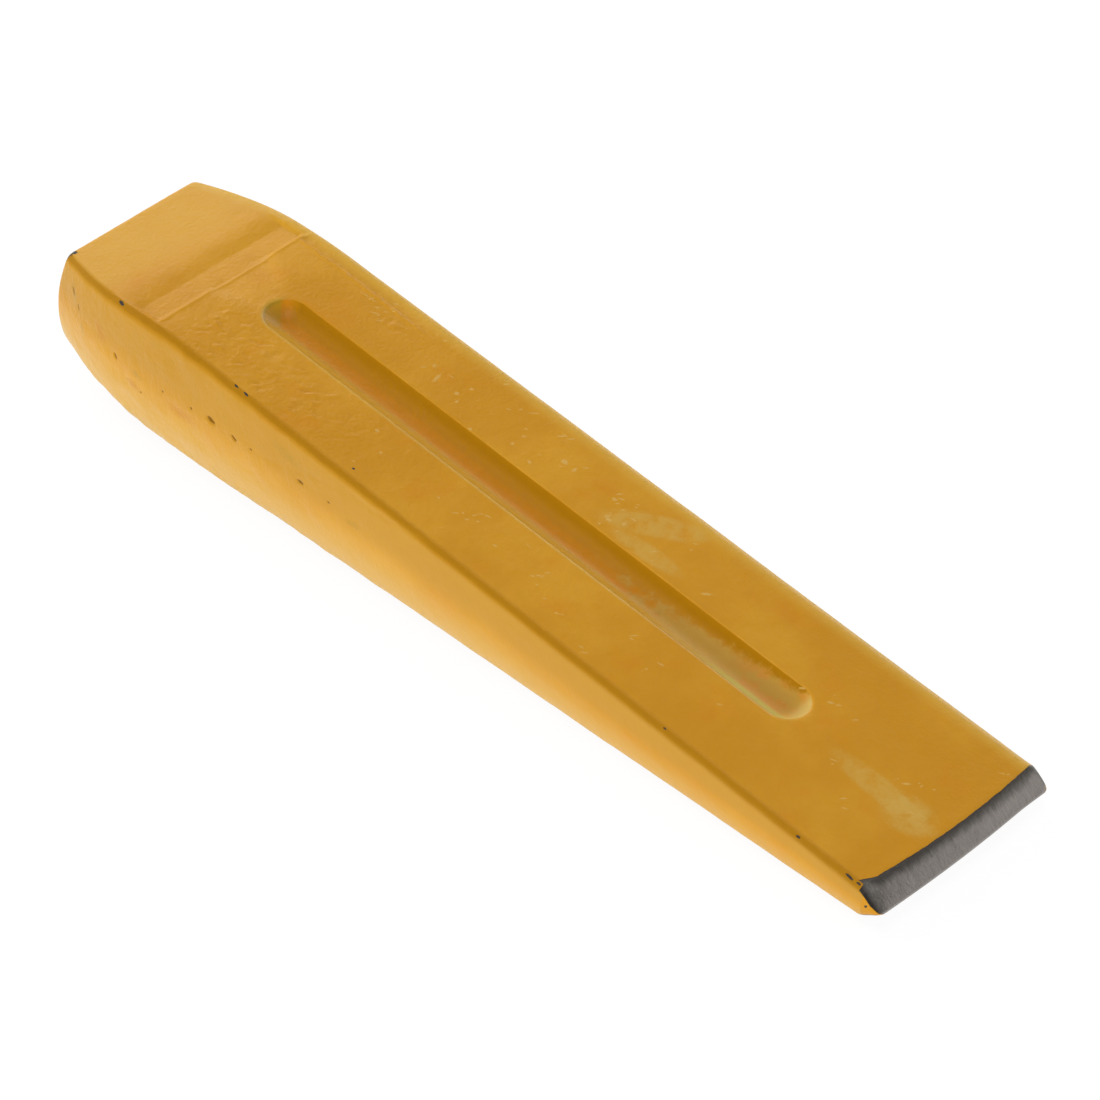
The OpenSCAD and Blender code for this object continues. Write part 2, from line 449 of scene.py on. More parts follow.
# between the groove and the near edge
wrinkles = {"height": 0.22, "begins": (36, 42), "ends": (74, 96), "near": (-22.4, -20.5), "far": (-9, -6.4)}
lap = {  # a fold on the near side that climbs from the parting line, with a crack along its lower side
    "low": 3.9, "firstRise": 6.0, "secondRise": 1.8, "begins": (64, 70), "ends": (112, 128), "step": 0.08,
    "crack": 0.16, "crackWidth": 0.26,
}
# the low line that the parting of the dies left near the poll
partingLine = {"at": -3.4, "dip": 2.9, "height": 0.14, "width": 0.9, "begins": (22, 30), "ends": (60, 74)}
nearSide = {"unevenness": 0.26, "pitSpan": 6, "pitRim": 0.15, "rimAt": 1.6, "rimWidth": 0.4}
reliefEnds = {"upper": 205, "nearSide": 236}
pits = [  # distance from the poll, height above the parting line, half length, half width, lean, depth
    (7.0, 8.0, 1.1, 0.30, -55, 0.12), (9.8, 5.9, 0.9, 0.25, -50, 0.10), (24.1, 2.8, 0.80, 0.40, -40, 0.32),
    (39.3, 2.9, 0.38, 0.30, 0, 0.16), (48.1, 3.9, 0.45, 0.30, -30, 0.20), (54.0, 4.4, 1.40, 0.58, -10, 0.60),
    (61.1, 4.1, 0.95, 0.42, -25, 0.45), (66.3, 4.3, 0.42, 0.30, -20, 0.26), (81.0, 4.9, 1.10, 0.34, -4, 0.36),
    (89.5, 4.9, 0.50, 0.25, 0, 0.16), (32.7, -1.5, 0.35, 0.28, 0, 0.07),
]
chips = [  # face, two places on it, half length, half width, lean: where the paint is knocked off
    ("arris", 22.6, 0.1, 0.85, 0.50, -18), ("arris", 58.3, 0.7, 0.60, 0.34, -10),
    ("arris", 61.3, 0.6, 0.75, 0.36, -10), ("top", 91.7, -21.0, 0.42, 0.30, 0),
    ("arris", 184.6, 0.3, 0.50, 0.22, 0), ("arris", 221.9, -0.2, 0.55, 0.36, 0),
    ("arris", 235.8, 0.0, 1.00, 0.40, -8), ("arris", 238.3, 0.1, 0.60, 0.34, 6),
    ("near", 241.4, 0.6, 0.45, 0.26, 60), ("arris", 0.6, 0.2, 0.70, 1.10, 0),
    ("poll", -17.9, 11.6, 1.7, 1.0, 50), ("poll", 15.8, -11.8, 1.3, 0.7, 40),
    ("poll", -7.5, -3.0, 1.1, 0.6, 15), ("poll", 5.2, 4.6, 0.7, 0.5, -30),
    ("poll", 9.0, -6.5, 0.45, 0.35, 0),
]
flecks = [  # pale nicks in the coat of the upper face
    (83.6, 11.0, 0.40, 1.35, 10), (80.6, 13.2, 0.30, 0.60, 20), (90.6, 14.2, 0.35, 0.45, 0),
    (89.6, 11.0, 0.50, 0.45, 20), (91.4, 9.3, 0.30, 0.50, 0), (99.0, 5.6, 0.45, 0.35, 0),
    (107.7, 9.4, 0.35, 0.40, 0), (113.8, 8.3, 0.60, 0.35, -15), (118.6, 13.9, 0.8, 0.6, 0),
    (121.6, 13.7, 0.40, 0.65, 0), (133.0, 14.0, 0.60, 0.40, 10), (136.4, 8.9, 0.75, 0.40, 0),
    (139.3, 10.4, 0.35, 0.55, 0), (164.4, 9.0, 1.30, 0.32, 42), (201.6, 6.2, 0.60, 0.30, 30),
    (226.5, 1.5, 0.90, 0.30, 42), (86.8, -9.5, 0.50, 0.35, 0), (92.0, -13.4, 0.35, 0.30, 0),
]
scuffs = [  # rubbed and stained places on the near side
    (7.2, 8.0, 2.6, 0.9, -58), (12.0, 2.0, 1.6, 0.6, -50), (31.2, 2.2, 1.9, 0.7, -12),
    (76.0, 8.8, 4.0, 1.0, -10), (97.0, 4.0, 2.4, 0.7, 5),
]
stains = [(18.4, 5.6, 2.4, 1.0, -45), (30.0, -1.0, 2.0, 0.9, 0), (45.0, 0.5, 3.5, 1.2, 0)]
fleckClusters = [  # distance from the poll, across, spread, how many strokes
    (57.4, 16.7, 1.2, 3), (62.1, 16.6, 1.5, 4), (62.4, 14.0, 1.4, 4), (93.6, 20.5, 1.0, 2),
    (103.2, 18.5, 1.5, 3), (105.1, 13.3, 1.5, 2), (114.3, 18.3, 1.6, 4), (132.6, 14.6, 2.0, 5),
    (136.3, 9.4, 2.0, 4), (138.3, 13.2, 2.5, 5), (150.9, 11.5, 3.0, 4), (115.2, -12.0, 1.8, 4),
    (118.3, -11.0, 1.5, 3), (138.0, -13.9, 2.0, 4), (140.0, -11.9, 1.5, 3), (149.4, -17.0, 1.0, 2),
    (162.6, -10.5, 0.8, 2), (158.5, -20.9, 0.8, 2), (171.3, -14.8, 1.2, 2), (201.9, 6.2, 1.4, 3),
    (212.9, -5.6, 1.0, 2), (221.4, -11.8, 1.0, 2), (224.7, 3.3, 1.5, 3), (229.2, 3.9, 1.6, 4),
    (237.0, 17.5, 1.2, 2), (100, 14, 26, 8), (110, -14, 34, 7), (210, 0, 16, 5),
]
stroke = {
    "widestSpread": 3, "halfLength": (0.3, 0.9), "halfWidth": (0.11, 0.19),
    "lean": (42, 18),  # mean and spread
}
farChips = {
    "along": (3, 238), "up": (-7, 3), "halfLength": (0.2, 0.6), "halfWidth": (0.15, 0.35),
    "lean": (-40, 40),
}
farChipCount = 16
scatter = random.Random(11)
for atX, atY, spread, strokes in fleckClusters:
    for count in range(strokes):
        flecks.append((scatter.gauss(atX, spread), scatter.gauss(atY, min(spread, stroke["widestSpread"])),
                       scatter.uniform(*stroke["halfLength"]), scatter.uniform(*stroke["halfWidth"]),
                       scatter.gauss(*stroke["lean"])))
for count in range(farChipCount):
    chips.append(("far",) + tuple(scatter.uniform(*span) for span in farChips.values()))

# Where a place lies: on which face, and how far from the groove and the marks
# how deep under a face a place still counts as on it
skinDepth = {"poll": 2.5, "broad": 0.9, "upper": 1.2, "side": 1.2, "arris": 4}
drawerLength = 4
farthest = 3  # distances are counted in sizes of the mark, up to this


def fromAxis(x, y):
    return math.hypot(x - min(grooveEnd, max(grooveStart, x)), y)


def isBroadFace(x, z):
    return z > halfThickness(x) - skinDepth["broad"]


def onFace(face, x, y, z):
    if face == "poll":
        return (y, z) if x < skinDepth["poll"] else None
    if face == "top":
        return (x, y) if z > halfThickness(x) - skinDepth["upper"] else None
    if face == "near":
        return (x, z) if y < -halfWidth(x) + skinDepth["side"] else None
    if face == "far":
        return (x, z) if y > halfWidth(x) - skinDepth["side"] else None
    across = (y + halfWidth(x)) + (z - halfThickness(x))  # over the near upper edge
    near = y < -halfWidth(x) + skinDepth["arris"] and z > halfThickness(x) - skinDepth["arris"]
    return (x, across) if near else None


def fromBlot(a, b, blot):
    centreA, centreB, length, width, lean = blot[:5]
    turn = math.radians(lean)
    along = (a - centreA) * math.cos(turn) + (b - centreB) * math.sin(turn)
    aside = (b - centreB) * math.cos(turn) - (a - centreA) * math.sin(turn)
    return math.hypot(along / length, aside / width)


def byDistance(group):
    drawers = {}
    for mark in group:
        middle = 0 if mark[0] == "poll" else mark[1]
        spread = (farthest + 1) * max(mark[3], mark[4])
        first = math.floor((middle - spread) / drawerLength)
        last = math.floor((middle + spread) / drawerLength)
        for drawer in range(first, last + 1):
            drawers.setdefault(drawer, []).append(mark)
    return drawers


def fromMarks(x, y, z, drawers, reach=farthest):
    nearest = reach
    for mark in drawers.get(math.floor(x / drawerLength), ()):
        place = onFace(mark[0], x, y, z)
        if place:
            nearest = min(nearest, fromBlot(*place, mark[1:]))
    return nearest


def fromPits(x, y, z, reach=farthest):
    if y > -halfWidth(x) + skinDepth["side"]:
        return reach
    close = [pit for pit in pits if abs(x - pit[0]) < nearSide["pitSpan"]]
    return min([reach] + [fromBlot(x, z, pit) for pit in close])


def lapHeight(x):
    wander = 0.55 * noise.noise(Vector((x * 0.45, 3.1, 0))) + 0.25 * noise.noise(Vector((x * 1.7, 8.4, 0)))
    first = lap["firstRise"] * smoothStep(x, 64, 96)
    second = lap["secondRise"] * smoothStep(x, 100, 126)
    return lap["low"] + first + second + wander


def wrinkledShare(x, y):
    return lengthShare(wrinkles, x) * between(y, wrinkles["near"], wrinkles["far"])


onUpperFace = [("top",) + fleck for fleck in flecks]
markDrawers = {
    "fromChip": byDistance(chips),
    "fromFleck": byDistance(onUpperFace),
    "fromScuff": byDistance([("near",) + scuff for scuff in scuffs]),
    "fromStain": byDistance([("near",) + stain for stain in stains]),
}
smallMarks = byDistance(chips + onUpperFace)

# Finer faces where the relief is small
finer = {
    "rim": 0.8, "recess": (19.5, 35.5), "recessHalfWidth": 23, "stripAlong": (33, 80),
    "stripAcross": (17.2, 19.6), "patchAt": (66, 15.5), "patchRadius": 5, "wrinkled": 0.05,
    "lap": (62, 128), "lapReach": 0.9, "lapNearerThan": -15, "marks": 2.2, "marksAgain": 1.7,
}


def isWithin(value, span):
    return span[0] < value < span[1]


def hasUpperDetail(x, y):
    if isWithin(x, finer["recess"]) and abs(y) < finer["recessHalfWidth"]:
        return True
    if isWithin(x, finer["stripAlong"]) and isWithin(y, finer["stripAcross"]):
        return True
    patchX, patchY = finer["patchAt"]
    inPatch = math.hypot(x - patchX, y - patchY) < finer["patchRadius"]
    return inPatch or wrinkledShare(x, y) > finer["wrinkled"]


def nearMarks(x, y, z, reach):
    if fromPits(x, y, z, reach + 1) < reach:
        return True
    return fromMarks(x, y, z, smallMarks, reach + 1) < reach


def nearRelief(x, y, z):
    if isBroadFace(x, abs(z)) and abs(fromAxis(x, y) - grooves["halfWidth"]) < finer["rim"]:
        return True
    if isBroadFace(x, z) and hasUpperDetail(x, y):
        return True
    besideLap = y < finer["lapNearerThan"] and isWithin(x, finer["lap"]) and z < halfThickness(x) - 1
    if besideLap and abs(z - lapHeight(x)) < finer["lapReach"]:
        return True
    return nearMarks(x, y, z, finer["marks"])


def refine(piece, wanted):
    setMode("EDIT")
    pick(piece, "FACE", lambda face: wanted(*face.calc_center_median()))
    bpy.ops.mesh.subdivide(number_cuts=1)
    setMode("OBJECT")


# Heights of the relief. Each function gives its own share at a place


def arcDepth(out):
    radius = (grooves["halfWidth"] ** 2 + grooves["depth"] ** 2) / (2 * grooves["depth"])
    return math.sqrt(radius ** 2 - out ** 2) - (radius - grooves["depth"])


def grooveShare(x, y, z):
    out = fromAxis(x, y)
    inside = grooves["halfWidth"] - grooves["lip"]
    outside = grooves["halfWidth"] + grooves["lip"]
    if out > outside or not isBroadFace(x, abs(z)):
        return 0
    if out > inside:
        return arcDepth(inside) / grooves["depth"] * ((outside - out) / (2 * grooves["lip"])) ** 2
    return arcDepth(out) / grooves["depth"]


def ripple(x, y, turn, scaleAlong, scaleAside, seed):
    along = x * math.cos(turn) + y * math.sin(turn)
    aside = y * math.cos(turn) - x * math.sin(turn)
    return noise.fractal(Vector((along * scaleAlong, aside * scaleAside, seed)), 0.6, 2.1, 3)


def recessEnds(y):
    near, far = recess["near"], recess["far"]
    return between(y, (near - 0.8, near + 0.6), (far - 0.6, far + 0.5))


def recessHeight(x, y):
    rolled = min(1, max(0, x - recess["from"]) / (recess["floor"] - recess["from"])) ** recess["roll"]
    climbed = smoothStep(x, recess["to"] - 0.4, recess["borderAt"] - 0.1)
    depth = recess["depth"] + recess["skew"] * y - recess["tilt"] * max(0, x - recess["floor"] + 1.5)
    return -depth * rolled * (1 - climbed) * recessEnds(y)


def funnelHeight(x, y):
    behind = x - funnel["widestAt"]
    span = funnel["halfWidth"] - funnel["narrowing"] * behind
    within = 1 - smoothStep(abs(y - funnel["middle"] + funnel["drift"] * behind), span - 3.6, span + 0.6)
    climb = min(1, max(0, (x - funnel["climbFrom"]) / funnel["climbLength"]))
    return -funnel["depth"] * within * smoothStep(x, *funnel["begins"]) * (1 - climb)


def recessOrFunnel(x, y):
    return min(recessHeight(x, y), funnelHeight(x, y))


def borderHeight(x, y):
    return recess["borderHeight"] * ridge(x - recess["borderAt"], recess["borderWidth"]) * recessEnds(y)


def stripHeight(x, y):
    lineAt = strip["at"] + strip["wander"] * noise.noise(Vector((x * 0.5, 1.7, 0)))
    beforeEdge = 1 - smoothStep(y, halfWidth(x) - 3.2, halfWidth(x) - 1.5)
    sunk = strip["depth"] * smoothStep(y, lineAt, lineAt + 0.8) * beforeEdge
    raised = strip["lineHeight"] * ridge(y - lineAt + 0.2, strip["lineWidth"])
    return (raised - sunk) * lengthShare(strip, x)


def roughPatchHeight(x, y):
    patchX, patchY = roughPatch["at"]
    out = math.hypot((x - patchX) / roughPatch["halfLength"], (y - patchY) / roughPatch["halfWidth"])
    return roughPatch["height"] * math.exp(-out ** 4) * ripple(x, y, 0.9, 0.5, 0.9, 4.2)


def notchHeight(x, y):
    return -notch["depth"] * lengthShare(notch, x) * ridge(y - notch["at"], notch["width"])


def headLineHeight(x, y):
    lineAt = headLine["at"] + headLine["spread"] * x
    share = smoothStep(y, lineAt, lineAt + 0.4)
    return -headLine["depth"] * lengthShare(headLine, x) * share


def wrinkleHeight(x, y):
    broken = smoothStep(noise.noise(Vector((x * 0.35, y * 0.35, 6.1))), -0.3, 0.35)
    return wrinkles["height"] * wrinkledShare(x, y) * broken * ripple(x, y, 0.75, 0.36, 0.90, 1.0)


def lipHeight(x, y):
    lip = ridge(fromAxis(x, y) - grooves["halfWidth"] - grooves["lipAt"], grooves["lipWidth"])
    height = grooves["pollLipHeight"] * (1 - smoothStep(x, *grooves["pollLipEnds"]))
    if y < 0:
        height += grooves["nearLipHeight"] * between(x, grooves["pollLipEnds"], grooves["nearLipEnds"])
    return lip * height


upperShares = (recessOrFunnel, borderHeight, stripHeight, roughPatchHeight, notchHeight,
               headLineHeight, wrinkleHeight, lipHeight)


def upperRelief(x, y, z):
    if not isBroadFace(x, z) or x >= reliefEnds["upper"] or abs(y) >= halfWidth(x) - skinDepth["side"]:
        return 0
    return sum(share(x, y) for share in upperShares)


def unevenSide(x, z):
    uneven = 0.3 + 0.7 * between(x, (2, 8), (60, 110))
    return nearSide["unevenness"] * uneven * noise.fractal(Vector((x * 0.16, z * 0.26, 2.6)), 0.8, 2.2, 4)


def pitHeight(x, z, pit):
    out = fromBlot(x, z, pit)
    rim = nearSide["pitRim"] * pit[5] * ridge(out - nearSide["rimAt"], nearSide["rimWidth"])
    return rim - pit[5] * math.exp(-out ** 3)


def foldHeight(x, z):
    lapAt = lapHeight(x)
    broken = 0.35 + 0.65 * smoothStep(noise.noise(Vector((x * 0.6, 5.5, 0))), -0.25, 0.15)
    step = lap["step"] * between(z, (lapAt - 0.6, lapAt), (lapAt, lapAt + 5))
    crack = lap["crack"] * broken * ridge(z - lapAt, lap["crackWidth"])
    return -(step + crack) * lengthShare(lap, x)


def partingHeight(x, z):
    lineAt = partingLine["at"] - partingLine["dip"] * smoothStep(x, 24, 38) + 3.4 * smoothStep(x, 52, 70)
    line = ridge(z - lineAt, partingLine["width"])
    return partingLine["height"] * line * lengthShare(partingLine, x)


def nearSideRelief(x, y, z):
    if y >= -halfWidth(x) + 0.2 or x >= reliefEnds["nearSide"]:
        return 0
    pitted = sum(pitHeight(x, z, pit) for pit in pits if abs(x - pit[0]) < nearSide["pitSpan"])
    return unevenSide(x, z) + pitted + foldHeight(x, z) + partingHeight(x, z)


# Shares that the material reads: the rounded upper edges and the height on a side, which place painted shade
# and highlights


def arrisShare(x, y, z):
    place = onFace("arris", x, y, z)
    if not place or x > bevelAt:
        return 0
    if place[1] > 0:
        return 1 - smoothStep(place[1], 0.7, 1.3)
    return 1 - smoothStep(-place[1], 0.5, 2.6)


def farEdgeShare(x, y, z):
    if x > bevelAt or y < 0:
        return 0
    high = smoothStep(z, halfThickness(x) - 2.6, halfThickness(x) - 1.4)
    return high * smoothStep(y, halfWidth(x) - 4.8, halfWidth(x) - 0.6)


def sideHeight(x, y, z):
    sideFrom = halfWidth(x) - 2.2
    if abs(y) < sideFrom or not 0.5 < x < bevelAt:
        return 1
    share = smoothStep(abs(y), sideFrom, halfWidth(x) - 0.8)
    return 1 - share * (0.5 - z / halfThickness(x) / 2)


def noteByPlace(piece, name, valueAt):
    note = piece.data.attributes.new(name, "FLOAT", "POINT")
    note.data.foreach_set("value", [valueAt(*vertex.co) for vertex in piece.data.vertices])


refine(forged, nearRelief)
refine(forged, lambda x, y, z: nearMarks(x, y, z, finer["marksAgain"]))
for name, valueAt in (("fromPit", fromPits), ("sideHeight", sideHeight), ("onArris", arrisShare),
                      ("onFarEdge", farEdgeShare)):
    noteByPlace(forged, name, valueAt)
for name, drawers in markDrawers.items():
    noteByPlace(forged, name, lambda x, y, z: fromMarks(x, y, z, drawers))
for name, side in (("upper groove", 1), ("lower groove", -1)):
    pushByPlace(forged, name, "Z", -side * grooves["depth"],
                lambda x, y, z: grooveShare(x, y, z) if z * side > 0 else 0)
emboss(forged, "upper relief", "Z", 1, upperRelief)
emboss(forged, "near side relief", "Y", -1, nearSideRelief)
triangles = sum(len(face.vertices) - 2 for face in forged.data.polygons)
print("relief pressed:", len(forged.data.polygons), "faces,", triangles, "triangles")


def swell(piece, name, scale, strength, depth):
    texture = bpy.data.textures.new(name, "CLOUDS")
    texture.noise_scale = scale
    texture.noise_depth = depth
    displace(piece, name, lambda x, y, z: 1 - smoothStep(x, bevelAt - 3, bevelAt), texture=texture,
             texture_coords="LOCAL", direction="NORMAL", strength=strength, mid_level=1)
    bpy.data.textures.remove(texture)


swell(forged, "hammer swell", scale=16, strength=0.14, depth=2)
swell(forged, "scale marks", scale=3.5, strength=0.04, depth=3)

millimetre = 0.001
forged.location = (-wedge["middle"] * millimetre, 0, wedge["lift"] * millimetre)
forged.rotation_euler = (0, math.radians(wedge["faceAngle"]), 0)
forged.scale = (millimetre,) * 3
bpy.ops.object.transform_apply(location=True, rotation=True, scale=True)
bpy.ops.object.shade_smooth()
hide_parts("wedge_body")
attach(forged, "root")
print("wedge laid down:", tuple(round(size * 1000, 2) for size in forged.dimensions), "mm")

# Materials. Patterns are laid out in millimetres from the poll, on the plane where the dies met
turnBack = -math.radians(wedge["faceAngle"])
pollPlace = (
    wedge["middle"] * math.cos(turnBack) - wedge["lift"] * math.sin(turnBack),
    0,
    -wedge["middle"] * math.sin(turnBack) - wedge["lift"] * math.cos(turnBack),
)


class Bench:
    def __init__(self, name):
        self.material = bpy.data.materials.new(name)
        self.material.use_nodes = True
        self.tree = self.material.node_tree
        self.tree.nodes.clear()

    def node(self, kind, settings=None, **inputs):
        node = self.tree.nodes.new(kind)
        for key, value in (settings or {}).items():
            setattr(node, key, value)
        for key, value in inputs.items():
            numbered = key[0] == "i" and key[1:].isdigit()
            socket = node.inputs[int(key[1:]) if numbered else key.replace("_", " ")]
            if isinstance(value, bpy.types.NodeSocket):
                self.tree.links.new(value, socket)
            else:
                socket.default_value = value
        return node

    def calc(self, operation, *values):
        inputs = {"i%d" % index: value for index, value in enumerate(values)}
        return self.node("ShaderNodeMath", {"operation": operation}, **inputs).outputs[0]

    def times(self, first, *others):
        for other in others:
            first = self.calc("MULTIPLY", first, other)
        return first

    def shift(self, value, pattern, amount):
        return self.calc("MULTIPLY_ADD", pattern, amount, value)

    def length(self, vector):
        return self.node("ShaderNodeVectorMath", {"operation": "LENGTH"}, i0=vector).outputs["Value"]

    def ramp(self, value, low, high, bottom=0.0, top=1.0):
        node = self.node("ShaderNodeMapRange", {"interpolation_type": "SMOOTHSTEP"}, Value=value,
                         From_Min=low, From_Max=high, To_Min=bottom, To_Max=top)
        return node.outputs["Result"]

    def blend(self, share, first, second):
        node = self.node("ShaderNodeMix", {"data_type": "RGBA"}, i0=share)
        for index, value in ((6, first), (7, second)):
            if isinstance(value, bpy.types.NodeSocket):
                self.tree.links.new(value, node.inputs[index])
            else:
                node.inputs[index].default_value = tuple(value) + (1,)
        return node.outputs[2]

    def note(self, name):
        return self.node("ShaderNodeAttribute", {"attribute_name": name}).outputs["Fac"]

    def noise(self, place, scale, detail=3.0, roughness=0.55, stretch=None):
        if stretch:
            place = self.node("ShaderNodeMapping", Vector=place, Scale=stretch).outputs[0]
        return self.node("ShaderNodeTexNoise", Vector=place, Scale=scale, Detail=detail,
                         Roughness=roughness).outputs["Fac"]


paint = {
    "light": (0.655, 0.314, 0.018),
    "deep": (0.590, 0.264, 0.009),
    "orange": (0.620, 0.244, 0.006),
    # painted light: the sides paler low down, towards the floor
    "litFromFloor": (0.680, 0.415, 0.088),
    # painted shade on the sides just under the upper edges
    "shadeUnderArris": (0.520, 0.275, 0.036),
    # painted shade along the rounded near upper edge
    "shadeOnNearArris": (0.370, 0.162, 0.002),
    # painted highlight: paler along the far upper edge
    "farEdgeHighlight": (0.690, 0.410, 0.055),
    # painted sheen: the top of the head paler and yellower
    "head": (0.665, 0.345, 0.024),
    # painted highlight just outside the groove's rim, strongest on the near side
    "rimHighlight": (0.640, 0.445, 0.085),
    "grooveMiddle": (0.650, 0.236, 0.001),
    # painted shade on the groove's far wall, darker still under the far rim
    "shadedFarWall": (0.510, 0.216, 0.001),
    "shadeUnderFarRim": (0.400, 0.172, 0.001),
    "grooveNearWall": (0.560, 0.280, 0.012),
    "rimLine": (0.330, 0.235, 0.014),
    "dust": (0.560, 0.312, 0.044),
    "paleDust": (0.540, 0.430, 0.085),
    "rustyDust": (0.620, 0.275, 0.036),
    "endDust": (0.600, 0.410, 0.095),
    "pale": (0.680, 0.450, 0.130),
    "smeared": (0.630, 0.385, 0.075),
    "scuffed": (0.430, 0.250, 0.030),
    "stained": (0.520, 0.200, 0.022),
    # darker in the pits
    "darkInPits": (0.230, 0.100, 0.007),
    "roughness": 0.36,
}
smears = [  # distance from the poll, across, half length, half width, lean: thin pale patches of the coat
    (144, 15.0, 11.5, 3.2, 33), (148, 8.2, 9.0, 2.2, 4),
    (225, -3.4, 13.5, 2.8, -2), (232.5, -4.2, 6.2, 4.6, 0),
]
rubbed = (("fromScuff", 0.4, "scuffed"), ("fromStain", 0.7, "stained"))  # distance, softness, tone
# painted shade on the groove's far wall and under its rim, the near wall more olive: tone and the span across
# it
grooveWalls = (("shadedFarWall", 0.2, 2.4), ("shadeUnderFarRim", 2.4, 4.4), ("grooveNearWall", -1.2, -2.8))
dustLayer = {  # along the groove it goes by the distance from the poll
    "begins": (145, 164), "onNearWall": (155, 168), "pale": (170, 186), "rusty": (176, 186),
    "end": (196, 199), "climb": 0.065, "reach": 8.4, "edge": 0.9, "tornAcross": 5.0, "tornAlong": 80.0,
    "cover": 0.9,
}
steel = {
    "bright": (0.392, 0.359, 0.331),
    "dull": (0.250, 0.227, 0.208),
    "scaled": (0.085, 0.078, 0.068),
    "chip": (0.050, 0.045, 0.038),
    "roughness": 0.46,
    "strokeStretch": (0.45, 3.0, 0.45),
}


def coatTone(bench, at):
    place = at["place"]
    patchy = bench.shift(bench.noise(place, 0.035), bench.ramp(at["x"], 30, 235), 0.16)
    colour = bench.blend(bench.ramp(patchy, 0.70, 0.38), paint["deep"], paint["light"])
    broad = bench.ramp(bench.noise(place, 0.09, 3.0, 0.6), 0.52, 0.72, top=0.5)
    colour = bench.blend(broad, colour, paint["orange"])
    small = bench.ramp(bench.noise(place, 0.6, 4.0, 0.6), 0.48, 0.80, top=0.45)
    colour = bench.blend(small, colour, paint["deep"])
    cloudy = bench.ramp(bench.noise(place, 0.30, 4.0, 0.65), 0.24, 0.62)
    for alongX, across, length, width, lean in smears:
        patch = bench.node("ShaderNodeMapping", {"vector_type": "TEXTURE"}, Vector=place,
                           Location=(alongX, across, 10), Rotation=(0, 0, math.radians(lean)),
                           Scale=(length, width, 100)).outputs[0]
        reach = bench.shift(bench.length(patch), at["grain"], 0.5)
        share = bench.times(bench.ramp(reach, 1.25, 0.75, top=0.6), cloudy)
        colour = bench.blend(share, colour, paint["smeared"])
    return colour


def paintedLightAndRubbing(bench, at, colour):
    x, onSide = at["x"], at["onSide"]
    # painted sheen: the top of the head paler and yellower
    headSheenShare = bench.times(bench.ramp(x, 23, 12, top=0.75), bench.ramp(onSide, 0.90, 0.98))
    colour = bench.blend(headSheenShare, colour, paint["head"])
    # painted light: paler low on the sides, towards the floor
    litFromFloorShare = bench.times(bench.ramp(onSide, 0.80, 0.05), bench.ramp(x, 238, 120, 0.65, 1))
    colour = bench.blend(litFromFloorShare, colour, paint["litFromFloor"])
    # painted shade on the sides just under the upper edges
    shadeUnderArrisShare = bench.times(bench.ramp(onSide, 0.50, 0.75), bench.ramp(onSide, 1.0, 0.9, top=0.8))
    colour = bench.blend(shadeUnderArrisShare, colour, paint["shadeUnderArris"])
    # painted highlight: paler along the far upper edge
    onFarEdge = bench.times(bench.note("onFarEdge"), 0.8)
    colour = bench.blend(onFarEdge, colour, paint["farEdgeHighlight"])
    # painted shade along the rounded near upper edge
    colour = bench.blend(bench.times(at["onArris"], 0.85), colour, paint["shadeOnNearArris"])
    for name, softness, tone in rubbed:
        distance = bench.shift(bench.note(name), at["grain"], 2.6)
        share = bench.ramp(distance, 1 + softness, 1 - softness, top=0.4)
        colour = bench.blend(share, colour, paint[tone])
    return colour


def grooveMap(bench, at):
    kept = bench.calc("MINIMUM", bench.calc("MAXIMUM", at["x"], grooveStart), grooveEnd)
    beyond = bench.calc("SUBTRACT", at["x"], kept)
    flat = bench.node("ShaderNodeCombineXYZ", X=beyond, Y=at["y"]).outputs[0]
    out = bench.calc("SUBTRACT", bench.length(flat), grooves["halfWidth"])
    aside = bench.calc("ADD", at["y"], bench.calc("MINIMUM", beyond, 0.0))
    return out, aside


def grooveTone(bench, at, aside):
    mottle = bench.noise(at["place"], 1.5, 5.0, 0.70)
    wall = bench.blend(bench.ramp(mottle, 0.38, 0.60), paint["grooveMiddle"], paint["orange"])
    wall = bench.blend(bench.ramp(mottle, 0.62, 0.70, top=0.35), wall, paint["pale"])
    # painted shade on the far wall and under the far rim
    for tone, inner, outer in grooveWalls:
        wall = bench.blend(bench.ramp(aside, inner, outer), wall, paint[tone])
    return wall


def dustInGroove(bench, at, aside):
    # it climbs the far wall towards the toe, and turns rusty before the end
    x, edge = at["x"], dustLayer["edge"]
    torn = bench.calc("SUBTRACT", bench.noise(at["place"], 0.40, 5.0, 0.68), 0.5)
    reach = bench.shift(bench.calc("ADD", aside, dustLayer["reach"]), x, -dustLayer["climb"])
    covered = bench.ramp(bench.shift(reach, torn, dustLayer["tornAcross"]), edge, -edge)
    begun = bench.ramp(bench.shift(x, torn, -dustLayer["tornAlong"]), *dustLayer["begins"])
    nearWall = bench.calc("MAXIMUM", bench.ramp(aside, -3.2, -1.8), bench.ramp(x, *dustLayer["onNearWall"]))
    dusty = bench.times(covered, begun, nearWall)
    patches = bench.ramp(bench.noise(at["place"], 0.22, 3.0), 0.42, 0.58)
    rusty = bench.times(bench.ramp(x, *dustLayer["rusty"]), patches)
    dust = bench.blend(rusty, paint["dust"], paint["rustyDust"])
    pale = bench.times(bench.ramp(aside, -2.0, -3.2), bench.ramp(x, *dustLayer["pale"]))
    dust = bench.blend(pale, dust, paint["paleDust"])
    return dusty, bench.blend(bench.ramp(x, *dustLayer["end"]), dust, paint["endDust"])


